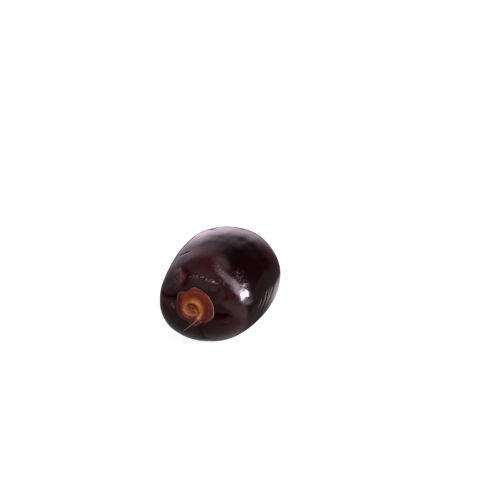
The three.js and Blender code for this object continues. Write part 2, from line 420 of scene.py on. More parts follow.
def surface_relief(points):
    """The height of the ripples, lumps, fine lines and crinkles at points of the oval."""
    out = np.hypot(points[:, 0], points[:, 2])
    turns = np.arctan2(points[:, 2], points[:, 0])
    ripples = grain(points, RIPPLE_SIZE, 2)
    line_wave = LINES_ROUND * (turns - LINE_RISE * points[:, 1]) + LINE_WANDER * ripples
    crinkle_height = CRINKLE_HEIGHT + near_places(points, CRINKLED)
    relief = RIPPLE_HEIGHT * smooth(out, RIPPLE_STARTS, RIPPLE_FULL) * ripples
    relief += LUMP_HEIGHT * grain(points, LUMP_SIZE, 2)
    relief += near_places(points, LINED) * np.sin(line_wave)
    relief += crinkle_height * grain(points, CRINKLE_SIZE, 3, shift=40)
    return relief


def grown(points, relief):
    """The oval's points, moved outwards by the relief and flattened where the date rests."""
    moved = points + oval_outward(points) * relief[:, None]
    moved[:, 2] = np.maximum(moved[:, 2], SAG - WIDTH / 2)
    return moved


skin_relief = broad_relief(plain) + wrinkles + surface_relief(plain) - hollow_depth(plain)
skin_points = grown(plain, skin_relief)
print("relief from", skin_relief.min().round(2), "to", skin_relief.max().round(2), "mm")

# %% [markdown]
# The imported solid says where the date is, and the finer skin has to stay inside its box. The
# oval's centre is put where the solid's box has it, and the skin is drawn in by the hair's breadth
# that its finer points would otherwise stand proud.

# %% Fit the skin to the solid
solid_low, solid_high = (np.array(corner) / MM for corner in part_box("fruit"))


def fit_between(points, low, high):
    """The scale and shift that bring points inside a box, standing on its floor."""
    size = points.max(axis=0) - points.min(axis=0)
    scale = min(1.0, ((high - low) / size).min())
    middle = (points.max(axis=0) + points.min(axis=0)) / 2 * scale
    shift = (low + high) / 2 - middle
    shift[2] = low[2] - points[:, 2].min() * scale
    return scale, shift


fit_scale, oval_centre = fit_between(skin_points, solid_low, solid_high)


def to_frame(points):
    """Points in millimetres from the oval's centre, placed in the frame in metres."""
    return (points * fit_scale + oval_centre) * MM


write_points(skin, to_frame(skin_points))
print("oval centre at", oval_centre.round(2), "mm, scale", round(fit_scale, 4))

# %% [markdown]
# The cap is the dry calyx: a thin dish with a lobed papery edge, a ring-shaped scar where the
# strand sat and a curved ridge beside it. It is spun from a flat double profile, an outer face and
# an underside that meet at the rim, and every point is then moved. Its share of the way to the
# rim and its turn say where it lies over the hollow, and the relief says how thick it is there.
# Solidify could give a single face its thickness, but the same thickness everywhere.

# %% Spin the cap
CAP_OUTER_STEPS = 70
CAP_INNER_STEPS = 24
CAP_TURN_STEPS = 260


def cap_profile():
    """The outer face from the middle to the rim, then the underside back to the middle."""
    outer = [(share, -1, 0) for share in np.linspace(0, 1, CAP_OUTER_STEPS + 1)]
    inner = [(share, 1, 0) for share in np.linspace(1, 0, CAP_INNER_STEPS + 1)]
    return outer + inner


cap = to_object(spin_profile(cap_profile(), CAP_TURN_STEPS), "calyx_cap_fine")
flat_cap = read_points(cap)
cap_share = np.hypot(flat_cap[:, 0], flat_cap[:, 2])
cap_turn = np.degrees(np.arctan2(flat_cap[:, 2], flat_cap[:, 0]))
is_outer = flat_cap[:, 1] < 0
print("cap points:", len(flat_cap))

# %% Place the cap on the hollow
# Where the scar and the torn stub of the strand are, across and up from the long axis.
SCAR_ACROSS, SCAR_UP = -0.9, -0.9
STUB_ACROSS, STUB_UP = 0.75, -2.75
cap_out = cap_share * cap_radius(cap_turn)
cap_polar = np.degrees(np.arcsin((cap_out / (WIDTH / 2)) ** (STEM_FULLNESS / 2)))
under = oval(cap_polar, cap_turn)
under = grown(under, near_places(under, SWELLINGS) - hollow_depth(under))
across, up = under[:, 0], under[:, 2]
from_scar = np.hypot(across - SCAR_ACROSS, up - SCAR_UP)
scar_turn = np.degrees(np.arctan2(up - SCAR_UP, across - SCAR_ACROSS))
from_stub = np.hypot(across - STUB_ACROSS, up - STUB_UP)
print("cap reaches", round(float(np.hypot(across, up).max()), 2), "mm from the axis")

# %% [markdown]
# The forms on the cap run into each other, because they grew as one. A ridge curls round the scar
# from its lower right over the top to its left, with a narrow crevice inside it, and the scar's own
# rim closes the ring at the lower left. Papery folds, torn bits of the strand and fine fibres that
# spread from the middle do the rest. They could be sculpted by hand, but then nobody could read
# where they are. Instead each form is worked out as a share at every point, and the shares are
# kept, so that the colours can follow the same forms later.

# %% Ridge, crevice and scar
# Turns round the scar in degrees, and how far from its middle each path lies there.
RIDGE_PATH = ((-36, 0, 60, 110, 160), (2.35, 2.0, 1.8, 1.72, 1.7))
CREVICE_PATH = ((-36, 0, 60, 110, 160), (1.9, 1.22, 0.93, 1.12, 1.4))
RING_PATH = ((-180, -140, -100, -40), (1.66, 1.42, 1.36, 1.5))
# The turns over which the ridge and the crevice rise from nothing and fade again.
RIDGE_RISES, RIDGE_FADES = (-56, -36), (160, 180)
CREVICE_RISES, CREVICE_FADES = (-50, -30), (140, 170)
# How far each form reaches to both sides of its path.
RIDGE_REACH = 0.4
CREVICE_REACH = 0.17
RING_REACH = 0.26
INNER_RING_RADIUS, INNER_RING_REACH = 0.56, 0.14
PIT_REACH = 0.3
STUB_REACH = 0.35


def sector(rises, fades):
    """A share that is 1 over a stretch of turns round the scar, with soft ends."""
    return smooth(scar_turn, *rises) * (1 - smooth(scar_turn, *fades))


def past_spiral(turns, radii):
    """How far each point of the cap is outside a path round the scar."""
    return from_scar - np.interp(scar_turn, turns, radii)


in_ridge = sector(RIDGE_RISES, RIDGE_FADES)
ridge = in_ridge * bell(past_spiral(*RIDGE_PATH) / RIDGE_REACH)
crevice = sector(CREVICE_RISES, CREVICE_FADES) * bell(past_spiral(*CREVICE_PATH) / CREVICE_REACH)
ring = (1 - in_ridge) * bell(past_spiral(*RING_PATH) / RING_REACH)
inner_ring = bell((from_scar - INNER_RING_RADIUS) / INNER_RING_REACH)
pit = bell(from_scar / PIT_REACH)
stub = bell(from_stub / STUB_REACH)
print("points on the ridge:", int((ridge > 0.5).sum()))

# %% Folds, torn bits and fibres
# Places across and up from the long axis that each form passes, and how far it reaches.
RIGHT_FOLD = [(2.6, 1.4), (3.1, 0.0), (3.3, -1.4), (2.8, -2.5), (1.8, -3.0)]
RIGHT_FOLD_REACH = 0.38
LEFT_FOLD = [(-2.3, 3.1), (-2.85, 2.0), (-3.0, 0.5), (-3.05, -1.0), (-2.6, -2.4), (-1.6, -3.1)]
LEFT_FOLD_REACH = 0.35
STRAND_BITS = [(-0.4, -1.2), (0.2, -1.75), (0.75, -2.75), (1.5, -3.4)]
STRAND_BITS_REACH = 0.24
TORN_SIZE, TORN_NOISE = 0.4, (-0.1, 0.25)  # the noise at which a bit starts and is full
EDGE_CURLS = 5  # how often the papery edge curls up on its way round
EDGE_CURL_PHASE = 1.2
EDGE_CURL_POWER = 8  # the higher it is, the closer the curls keep to the rim
CAP_FIBRES = 46
CAP_FIBRE_WANDER = 5  # in radians of their wave
CAP_FIBRE_NOISE = 1.2
CRUMPLE_SIZE = 0.9
CRUMPLE_POWER = 6  # the higher it is, the closer to the rim the crumples reach


def near_flat_path(path, reach):
    """How close each point of the cap is to a path of places across and up."""
    return bell(distance_to_path(cap_flat, np.array([(x, 0, z) for x, z in path])) / reach)


cap_flat = np.stack([across, np.zeros_like(across), up], axis=-1)
right_fold = near_flat_path(RIGHT_FOLD, RIGHT_FOLD_REACH)
left_fold = near_flat_path(LEFT_FOLD, LEFT_FOLD_REACH)
torn = smooth(grain(cap_flat, TORN_SIZE, 3, shift=5), *TORN_NOISE)
bits = torn * near_flat_path(STRAND_BITS, STRAND_BITS_REACH)
cap_angle = np.radians(cap_turn)
curls = 0.5 + 0.5 * np.cos(cap_angle * EDGE_CURLS + EDGE_CURL_PHASE)
edge_curl = cap_share ** EDGE_CURL_POWER * curls
fibre_wave = cap_angle * CAP_FIBRES + CAP_FIBRE_WANDER * grain(cap_flat, CAP_FIBRE_NOISE, 2)
fibre_lines = cap_share * np.sin(fibre_wave)
crumple = (1 - cap_share ** CRUMPLE_POWER) * grain(cap_flat, CRUMPLE_SIZE, 4, shift=9)
print("points on the folds:", int((np.maximum(right_fold, left_fold) > 0.5).sum()))

# %% Thickness of the cap
CAP_GAP = 0.08  # between the skin and the cap's underside
CAP_FLOOR_THICKNESS = 0.5
CAP_RIM_THICKNESS = 0.2
# Each form, and how far it stands out of the dish or, where negative, is sunk into it.
CAP_FORMS = [
    (ring, 0.4), (ridge, 0.48), (crevice, -0.22), (inner_ring, 0.1), (pit, -0.12),
    (stub, 0.3), (bits, 0.16), (right_fold, 0.16), (left_fold, 0.14),
    (edge_curl, 0.08), (fibre_lines, 0.012), (crumple, 0.06),
]
cap_lift = CAP_FLOOR_THICKNESS + (CAP_RIM_THICKNESS - CAP_FLOOR_THICKNESS) * cap_share
for form, height in CAP_FORMS:
    cap_lift += height * form
cap_points = under.copy()
cap_points[:, 1] -= CAP_GAP + np.where(is_outer, cap_lift, 0)
write_points(cap, to_frame(cap_points))
print("cap is", cap_lift[is_outer].min().round(2), "to", cap_lift[is_outer].max().round(2), "mm thick")

# %% [markdown]
# One fibre of the strand still hangs from the cap, down and to the left. It is a hair-thin tube:
# a small ring, extruded from place to place along a short curved route and closed at both ends. A
# curve object with a round section would do as well, but the ring keeps it a plain mesh, and each
# step can make the ring a little smaller, so that the fibre thins towards its tip.

# %% The loose fibre
# Where the fibre passes: across, back from the foremost point of the oval, and up.
FIBRE_ROUTE = [
    (0.75, 0.6, -2.75), (0.55, 0.2, -3.15), (0.05, 0.0, -3.75), (-0.75, 0.0, -4.45),
    (-1.75, 0.45, -5.3), (-2.75, 1.05, -6.2), (-3.7, 1.8, -7.1),
]
FIBRE_RADIUS = 0.075
FIBRE_TIP_SHARE = 0.55  # the tip's radius, as a share of the first one
FIBRE_SIDES = 8


def ring_place(centre, radius, heading):
    """What turns a ring of radius 1 at the origin into one round centre, square to heading."""
    turned = Vector(heading).to_track_quat("Z", "Y").to_matrix().to_4x4()
    return Matrix.Translation(centre) @ turned @ Matrix.Scale(radius, 4)


def extrude_tube(places):
    """A closed tube, as a bmesh: a ring that is extruded from each place to the next."""
    bm = bmesh.new()
    bmesh.ops.create_circle(bm, segments=FIBRE_SIDES, radius=1, cap_ends=False, matrix=places[0])
    ring = bm.edges[:]
    for before, after in zip(places[:-1], places[1:]):
        new = bmesh.ops.extrude_edge_only(bm, edges=ring)["geom"]
        points = [item for item in new if isinstance(item, bmesh.types.BMVert)]
        ring = [item for item in new if isinstance(item, bmesh.types.BMEdge) and item.is_boundary]
        bmesh.ops.transform(bm, matrix=after @ before.inverted(), verts=points)
    bmesh.ops.holes_fill(bm, edges=bm.edges[:], sides=FIBRE_SIDES)
    bmesh.ops.recalc_face_normals(bm, faces=bm.faces[:])
    return bm


route = [(x, y - STEM_HALF, z) for x, y, z in FIBRE_ROUTE]
fibre_radii = np.linspace(FIBRE_RADIUS, FIBRE_RADIUS * FIBRE_TIP_SHARE, len(route))
# At each place the tube heads from the place before towards the place after.
headings = np.subtract(route[1:] + route[-1:], route[:1] + route[:-1])
ring_places = [ring_place(*ring) for ring in zip(route, fibre_radii, headings)]
fibre = to_object(extrude_tube(ring_places), "calyx_fibre")
write_points(fibre, to_frame(read_points(fibre)))
print("fibre points:", len(fibre.data.vertices))

# %% [markdown]
# Two effects are shared by the materials. All the pieces have patches of uneven colour or sheen,
# and both the skin and the cap have a fine grain. Each effect is one node group that is built once
# and placed in each material with its own values, so that a change to it reaches all of them. Both
# read Object coordinates, which stay with the piece when it moves.

# %% Mottle and fine grain, the shared node groups
NOISE_MIDDLE = 0.5
MOTTLE_DETAIL = 4.0


def new_group(name, inputs, output):
    """A node group with number sockets, its input node and its output node."""
    group = bpy.data.node_groups.new(name, "ShaderNodeTree")
    for socket_name in inputs:
        group.interface.new_socket(socket_name, in_out="INPUT", socket_type="NodeSocketFloat")
    group.interface.new_socket(output, in_out="OUTPUT", socket_type="NodeSocketFloat")
    return group, group.nodes.new("NodeGroupInput"), group.nodes.new("NodeGroupOutput")


def number_and_socket(tree, operation, number, socket):
    """The result of a Math node for a number and a socket, in that order."""
    node = tree.nodes.new("ShaderNodeMath")
    node.operation = operation
    node.inputs[0].default_value = number
    tree.links.new(socket, node.inputs[1])
    return node.outputs[0]


def noise_of_size(tree, size):
    """A Noise node on Object coordinates, for a grain whose size in metres is a socket."""
    coordinates = tree.nodes.new("ShaderNodeTexCoord")
    texture = tree.nodes.new("ShaderNodeTexNoise")
    tree.links.new(coordinates.outputs["Object"], texture.inputs["Vector"])
    tree.links.new(number_and_socket(tree, "DIVIDE", 1.0, size), texture.inputs["Scale"])
    return texture


def make_mottle():
    """Soft patches. The softness is how far from its middle the noise starts to count."""
    group, source, result = new_group("mottle", ("Patch size", "Softness"), "Mask")
    texture = noise_of_size(group, source.outputs["Patch size"])
    texture.inputs["Detail"].default_value = MOTTLE_DETAIL
    spread = group.nodes.new("ShaderNodeMapRange")
    spread.interpolation_type = "SMOOTHSTEP"
    low = number_and_socket(group, "SUBTRACT", NOISE_MIDDLE, source.outputs["Softness"])
    high = number_and_socket(group, "ADD", NOISE_MIDDLE, source.outputs["Softness"])
    group.links.new(texture.outputs["Fac"], spread.inputs["Value"])
    group.links.new(low, spread.inputs["From Min"])
    group.links.new(high, spread.inputs["From Max"])
    group.links.new(spread.outputs["Result"], result.inputs["Mask"])
    return group


def make_fine_grain():
    """The height of a fine unevenness, for a bump."""
    group, source, result = new_group("fine grain", ("Grain size", "Detail"), "Height")
    texture = noise_of_size(group, source.outputs["Grain size"])
    group.links.new(source.outputs["Detail"], texture.inputs["Detail"])
    group.links.new(texture.outputs["Fac"], result.inputs["Height"])
    return group


mottle = make_mottle()
fine_grain = make_fine_grain()
print("mottle with", len(mottle.nodes), "nodes, fine grain with", len(fine_grain.nodes))

# %% [markdown]
# The skin isn't the same all over. The rim and face of the lobe are paler, which is a painted highlight and
# sheen. Pale flecks lie left of the cap and at the tip, and painted glints lie along the wrinkle above the
# cap and on the right shoulder. The wax is missing where the skin folds in, and the creases are darker, as
# painted shade. The stretched right flank is sleeker than the rest, some parts are riper, so more wine-red,
# and the right flank and shoulder are darker, as a painted shadow. Such patches could be painted on an
# image. Here each is a soft spot or line with a place, a reach and a strength, as the forms of the relief
# are, and the mesh keeps it as a mask on its points.

# %% Where the skin differs
# Where the skin of the lobe is paler, as a painted highlight and sheen: name, the places that the line
# passes, its width and its strength.
LOBE_HIGHLIGHT_LINES = [
    ("rim of the lobe", [(45, 134), (41.5, 130), (37.5, 124), (33.5, 119), (29, 118), (23, 121)], 0.32, 0.6),
    ("face of the lobe", [(36, 127), (33, 122), (28, 121), (22, 134)], 1.1, 0.25),
]
# Pale flecks and painted glints, given in the same way. Above the cap and on the right shoulder they are
# painted glints. Left of the cap and at the tip they are pale flecks on the skin.
FLECKS_AND_GLINTS = [
    ("above the cap", [(25, 104), (26, 95), (26, 87), (26, 75), (27, 62), (28, 56)], 0.36, 0.85),
    ("left of the cap", [(22, -178), (18, -172), (15.5, -167)], 0.22, 0.45),
    ("dry point at the tip", [(178, 0), (178, 180)], 0.35, 0.6),
    ("top of the right shoulder", [(46, 66), (40, 50), (34, 42)], 0.6, 0.2),
    ("right shoulder", [(54, 38), (52, 24)], 1.5, 0.12),
]
# Name, polar angle, turn, reach and how much duller the skin is there.
DULLED = [
    ("left lobe", 40, 132, 3.6, 1.0),
    ("below the left fold", 32, -176, 3.0, 0.8),
    ("pocket right of the cap", 21, 32, 1.2, 0.8),
]
# Name, polar angle, turn, reach and how much sleeker the skin is there.
SLEEK = [
    ("right flank", 78, 6, 7.0, 1.0),
    ("upper right flank", 80, 36, 6.0, 1.0),
]
# Name, polar angle, turn, reach and how much redder the skin is there. The darker tones on the upper right
# flank, the right shoulder and the right flank are a painted shadow.
TONES_AND_PAINTED_SHADOW = [
    ("patch above the cap", 50, 90, 5.0, 0.55),
    ("left of the cap", 36, 178, 5.0, 0.3),
    ("right of the cap", 33, 10, 4.0, 0.05),
    ("upper right flank", 84, 50, 11.0, -0.5),
    ("right shoulder", 68, 26, 7.0, -0.45),
    ("right flank", 85, -15, 9.0, -0.25),
    ("far right flank", 125, 0, 9.0, -0.2),
    ("far left flank", 115, 170, 9.0, -0.15),
]
print(len(LOBE_HIGHLIGHT_LINES) + len(FLECKS_AND_GLINTS), "lines and", len(DULLED) + len(SLEEK) + len(TONES_AND_PAINTED_SHADOW), "spots")

# %% Masks on the skin
# The size of the patches in the lobe's painted highlight and of the flecks, and the noise at which one
# starts and is full.
LOBE_HIGHLIGHT_PATCH_SIZE, LOBE_HIGHLIGHT_PATCH_NOISE = 0.6, (-0.2, 0.3)
FLECK_SIZE, FLECK_NOISE = 0.36, (0.1, 0.4)
TONE_MIDDLE = 0.4
TONE_SWING = 0.2
TONE_SIZE = 6.0
DULL_LIMIT = 0.7
# How far past the edge of a bulge the crease's painted shade and its lack of wax still reach.
CREASE_SHADE_REACH = 0.1
WAXLESS_REACH = 0.6
# How deep a crease and the crease beside a fold are where they start to count, and where in full.
CREASE_COUNTS = (0, 0.5)
FOLD_COUNTS = (0.1, 0.45)


def near_lines(points, lines):
    """How close each point is to one of the lines, as a share of the line's strength."""
    share = np.zeros(len(points))
    for _, path, width, strength in lines:
        gap = distance_to_path(points, path_points(path))
        share = np.maximum(share, strength * bell(gap / width))
    return share


def in_crease(points, past_edge):
    """How much each point lies in a crease, or on a bulge less than past_edge from the crease."""
    share = np.zeros(len(points))
    for path, width, depth in crease_paths(CREASES + WRINKLES):
        inside = bell(distance_to_path(points, path) / width)
        share = np.maximum(share, inside * smooth(depth, *CREASE_COUNTS))
    for _, path, _, _, floor_reach, floor_depth in FOLDS:
        offset, along = fold_shares(points, path)
        inside = along * smooth(past_edge - offset, -FOLD_EDGE, FOLD_EDGE) * bell(offset / floor_reach)
        share = np.maximum(share, inside * smooth(floor_depth, *FOLD_COUNTS))
    return share


def store_mask(obj, name, values):
    """Keeps a value from 0 to 1 for each point of the mesh, for its material to read."""
    attribute = obj.data.attributes.new(name, "FLOAT", "POINT")
    attribute.data.foreach_set("value", np.clip(values, 0, 1).astype(np.float32))


def mask_names(obj):
    """The names of the masks on a mesh, without what Blender keeps there for itself."""
    return [attribute.name for attribute in obj.data.attributes if attribute.data_type == "FLOAT"]


lobe_highlight_patches = 0.5 + 0.5 * smooth(grain(plain, LOBE_HIGHLIGHT_PATCH_SIZE, 3, shift=20), *LOBE_HIGHLIGHT_PATCH_NOISE)
fleck_and_glint_spots = smooth(grain(plain, FLECK_SIZE, 3, shift=55), *FLECK_NOISE)
wine_patches = TONE_MIDDLE + TONE_SWING * grain(plain, TONE_SIZE, 3, shift=70)
dulled = DULL_LIMIT * np.clip(near_places(plain, DULLED), 0, 1)
# The paler rim and face of the lobe: a painted highlight and sheen.
store_mask(skin, "lobe_highlight", near_lines(plain, LOBE_HIGHLIGHT_LINES) * lobe_highlight_patches)
# Pale flecks, which above the cap and on the right shoulder are painted glints.
store_mask(skin, "fleck_and_glint", near_lines(plain, FLECKS_AND_GLINTS) * fleck_and_glint_spots)
# Painted shade in the creases, which the metallic share also turns into a painted red reflection.
store_mask(skin, "crease", in_crease(plain, CREASE_SHADE_REACH))
# The wine tone, with a painted shadow on the right flank and shoulder.
store_mask(skin, "wine", wine_patches + near_places(plain, TONES_AND_PAINTED_SHADOW))
store_mask(skin, "waxless", np.maximum(in_crease(plain, WAXLESS_REACH), dulled))
store_mask(skin, "sleek", near_places(plain, SLEEK))
print("masks on the skin:", mask_names(skin))

# %% [markdown]
# A material is a tree of nodes, and the pieces need the same few kinds: a mask, a mix of two
# colours, a value spread over a range and a bump. They could be placed one by one in the editor.
# Here each kind gets a short function that adds its node to a tree and gives back its output.

# %% Nodes that the materials share
def new_material(name):
    """A material, its tree and its Principled shader."""
    material = bpy.data.materials.new(name)
    material.use_nodes = True
    return material, material.node_tree, material.node_tree.nodes["Principled BSDF"]


def set_inputs(node, values):
    """Sets the inputs that are the same all over a piece, on the node itself."""
    for name, value in values.items():
        node.inputs[name].default_value = value


def place_group(tree, group, values):
    """A group placed in a material with its own values. Gives back the group's only output."""
    node = tree.nodes.new("ShaderNodeGroup")
    node.node_tree = group
    set_inputs(node, values)
    return node.outputs[0]


def place_mottle(tree, patch_size, softness):
    """The mottle's mask for patches of a size in millimetres."""
    return place_group(tree, mottle, {"Patch size": patch_size * MM, "Softness": softness})


def mask_of(tree, name):
    """The mask that a mesh keeps under a name."""
    node = tree.nodes.new("ShaderNodeAttribute")
    node.attribute_name = name
    return node.outputs["Fac"]


def mix_colours(tree, mask, first, second):
    """A colour that goes from first to second as the mask rises. Either may be a socket."""
    node = tree.nodes.new("ShaderNodeMix")
    node.data_type = "RGBA"
    tree.links.new(mask, node.inputs["Factor"])
    for socket, colour in ((node.inputs["A"], first), (node.inputs["B"], second)):
        if isinstance(colour, bpy.types.NodeSocket):
            tree.links.new(colour, socket)
        else:
            socket.default_value = (*colour, 1.0)
    return node.outputs["Result"]


def mix_values(tree, mask, first, second):
    """A value that goes from the first, a socket, to the second, a number, as the mask rises."""
    node = tree.nodes.new("ShaderNodeMix")
    tree.links.new(mask, node.inputs["Factor"])
    tree.links.new(first, node.inputs["A"])
    node.inputs["B"].default_value = second
    return node.outputs["Result"]


def spread_values(tree, mask, low, high):
    """The mask, stretched to run from low to high."""
    node = tree.nodes.new("ShaderNodeMapRange")
    node.inputs["To Min"].default_value = low
    node.inputs["To Max"].default_value = high
    tree.links.new(mask, node.inputs["Value"])
    return node.outputs["Result"]


def product(tree, first, *others):
    """The product of two or more values."""
    for other in others:
        node = tree.nodes.new("ShaderNodeMath")
        node.operation = "MULTIPLY"
        tree.links.new(first, node.inputs[0])
        tree.links.new(other, node.inputs[1])
        first = node.outputs[0]
    return first


skin_material, tree, shader = new_material("date_skin")
print("material", skin_material.name, "with", len(tree.nodes), "nodes to start with")

# %% Bumps
def add_bump(tree, height, distance, strength, normal=None):
    """A bump of a height in millimetres, over an earlier one if there is one."""
    node = tree.nodes.new("ShaderNodeBump")
    node.inputs["Distance"].default_value = distance * MM
    node.inputs["Strength"].default_value = strength
    tree.links.new(height, node.inputs["Height"])
    if normal is not None:
        tree.links.new(normal, node.inputs["Normal"])
    return node.outputs["Normal"]


def grain_bump(tree, grain_size, detail, height, strength, coarseness=None, normal=None):
    """A bump from the fine grain. Where coarseness is given, it scales the height."""
    values = {"Grain size": grain_size * MM, "Detail": detail}
    rise = place_group(tree, fine_grain, values)
    if coarseness is not None:
        rise = product(tree, rise, coarseness)
    return add_bump(tree, rise, height, strength, normal)


print("bumps take their height from the group", fine_grain.name)

# %% [markdown]
# The skin is nearly black, with a wine-red tone where light gets into it. It has two layers of
# gloss: the soft flesh gives a broad dull sheen, and the thin wax on it gives the crisp hot spot.
# In the shader those are the base roughness and a clear coat, because one layer could give only one of them.
# The sheen is a little mauve, so the specular tint is too. In a deep crease, light has bounced off red skin
# before it is mirrored, so the gloss there is red. Only a metal tints its gloss as strongly as that, so the
# creases get a metallic share. Their dark red colour is painted shade, and through the metallic share it is
# also a painted red reflection.

# %% Skin material
SKIN_BLACK = (0.0040, 0.0005, 0.0008)
SKIN_WINE = (0.060, 0.0066, 0.0088)
# Painted shade in the creases, and through the metallic share a painted red reflection.
SKIN_CREASE_SHADE = (0.036, 0.0022, 0.0034)
# The paler colour of the lobe: a painted highlight.
SKIN_LOBE_HIGHLIGHT = (0.26, 0.145, 0.150)
# Pale flecks, and painted glints above the cap and on the right shoulder.
SKIN_FLECK_AND_GLINT = (0.45, 0.34, 0.35)
MAUVE = (1.0, 0.82, 0.9, 1.0)
# The mottle of the sheen: patch size, softness and the lowest and highest roughness.
SHEEN_PATCHES = (2.4, 0.3)
SHEEN_ROUGHNESS = (0.22, 0.32)
SLEEK_ROUGHNESS = 0.12
WAXLESS_ROUGHNESS = 0.6
CREASE_METALLIC = 0.7
SLEEK_BUMPS = 0.25  # the height of the bumps on the sleekest skin, as a share of the others
# Grain size, detail, height and strength of the two bumps, the coarse crinkle and the pores.
SKIN_BUMPS = [(0.7, 3.0, 0.03, 0.35), (0.22, 2.0, 0.02, 0.4)]

# The wine tone, darker on the right flank and shoulder as a painted shadow.
colour = mix_colours(tree, mask_of(tree, "wine"), SKIN_BLACK, SKIN_WINE)
# Over the wine tone lie the lobe's painted highlight, the creases' painted shade, and the flecks with their
# painted glints.
for mask_name, tint in (("lobe_highlight", SKIN_LOBE_HIGHLIGHT), ("crease", SKIN_CREASE_SHADE), ("fleck_and_glint", SKIN_FLECK_AND_GLINT)):
    colour = mix_colours(tree, mask_of(tree, mask_name), colour, tint)
tree.links.new(colour, shader.inputs["Base Color"])
sleek, waxless = mask_of(tree, "sleek"), mask_of(tree, "waxless")
roughness = spread_values(tree, place_mottle(tree, *SHEEN_PATCHES), *SHEEN_ROUGHNESS)
roughness = mix_values(tree, sleek, roughness, SLEEK_ROUGHNESS)
roughness = mix_values(tree, waxless, roughness, WAXLESS_ROUGHNESS)
tree.links.new(roughness, shader.inputs["Roughness"])
tree.links.new(spread_values(tree, waxless, 1.0, 0.0), shader.inputs["Coat Weight"])
metallic = spread_values(tree, mask_of(tree, "crease"), 0.0, CREASE_METALLIC)
tree.links.new(metallic, shader.inputs["Metallic"])
coarseness = spread_values(tree, sleek, 1.0, SLEEK_BUMPS)
normal = None
for settings in SKIN_BUMPS:
    normal = grain_bump(tree, *settings, coarseness, normal)
tree.links.new(normal, shader.inputs["Normal"])
set_inputs(shader, {"Specular Tint": MAUVE, "IOR": 1.25, "Coat Roughness": 0.12, "Coat IOR": 1.35})
skin.data.materials.append(skin_material)
print("skin material with", len(tree.nodes), "nodes")

# %% [markdown]
# The cap's colours follow its forms, so most of its masks are made from the shares that shaped it: the
# crevice and the pit are darker, as painted shade, the ridge and its flank have a painted orange highlight
# where they face the light, and the left of the ridge and the scar's rim are tan. The rest say how far a
# point is inside the bowl and how near it is to the papery edge, which is pale only here and there. Colours
# painted by hand would lie beside the forms as soon as one of the forms is moved.

# %% Masks on the cap
# The bowl's middle and half widths across and up, and where its edge starts and ends to fade.
BOWL_ACROSS, BOWL_UP = 0.1, 0.5
BOWL_HALF_ACROSS, BOWL_HALF_UP = 3.0, 3.3
BOWL_FADES = (0.8, 1.15)
# The lower right of the cap is darker: its direction, where that starts and is full, and how far
# it takes the bowl's brown away.
LOW_RIGHT_ACROSS, LOW_RIGHT_UP = 0.5, -0.85
LOW_RIGHT_STARTS = (1.2, 2.6)
LOW_RIGHT_SHARE = 0.85
# The flank of the ridge with the painted highlight: turns round the scar, radius and reach.
RIDGE_HIGHLIGHT_RISES, RIDGE_HIGHLIGHT_FADES = (-60, -30), (80, 140)
RIDGE_HIGHLIGHT_RADIUS, RIDGE_HIGHLIGHT_REACH = 1.95, 0.8
TAN_RISES = (75, 125)  # the turns over which the ridge goes from orange to tan
SCAR_REACH = 1.1
STRAND_REACH = 0.4
FOLD_TOP, FOLD_DARKENS = 2.0, (0, 2)  # the right fold darkens from this height downwards
EDGE_STARTS = (0.9, 1.0)  # in shares of the way to the rim
# Where the papery edge is pale: turn, spread in degrees and strength.
PALE_EDGES = [
    (93, 14, 0.8), (10, 30, 0.6), (-25, 26, 1.0), (-93, 20, 1.0), (146, 22, 0.5), (-170, 40, 0.25),
]

# A number before a share says how much it counts in its mask.
bowl_out = np.hypot((across - BOWL_ACROSS) / BOWL_HALF_ACROSS, (up - BOWL_UP) / BOWL_HALF_UP)
low_right = smooth(across * LOW_RIGHT_ACROSS + up * LOW_RIGHT_UP, *LOW_RIGHT_STARTS)
in_bowl = (1 - smooth(bowl_out, *BOWL_FADES)) * (1 - LOW_RIGHT_SHARE * low_right)
ridge_flank = sector(RIDGE_HIGHLIGHT_RISES, RIDGE_HIGHLIGHT_FADES) * bell((from_scar - RIDGE_HIGHLIGHT_RADIUS) / RIDGE_HIGHLIGHT_REACH)
on_left = smooth(scar_turn, *TAN_RISES)
in_scar = 0.8 * ring + 0.7 * ridge * on_left + 0.4 * bell(from_scar / SCAR_REACH)
pale_edge = np.zeros(len(cap_turn))
for middle, spread, strength in PALE_EDGES:
    off = (cap_turn - middle + 180) % 360 - 180
    pale_edge = np.maximum(pale_edge, strength * bell(off / spread))
store_mask(cap, "bowl", in_bowl)
# Painted orange highlight on the ridge and its flank, where they face the light.
store_mask(cap, "glow", 0.8 * ridge_flank + 0.6 * ridge * (1 - on_left))
store_mask(cap, "scar", in_scar)
# Painted shade in the crevice and the pit.
store_mask(cap, "crevice", 1.1 * crevice + 0.8 * pit)
store_mask(cap, "fold", right_fold * smooth(FOLD_TOP - up, *FOLD_DARKENS))
store_mask(cap, "edge", smooth(cap_share, *EDGE_STARTS) * pale_edge)
store_mask(cap, "strand", bell(from_stub / STRAND_REACH) + 0.8 * bits)
print("masks on the cap:", mask_names(cap))

# %% [markdown]
# A dried calyx is thin and lets some light through, so its brown glows a little. The material
# turns the masks into colours, one over the other, and adds fine veins and a weak subsurface
# scatter. The scatter is mostly red, because dry husk soaks up the blue first.

# %% Cap material
HUSK_WINE = (0.12, 0.009, 0.010)
HUSK_RUST = (0.21, 0.038, 0.022)
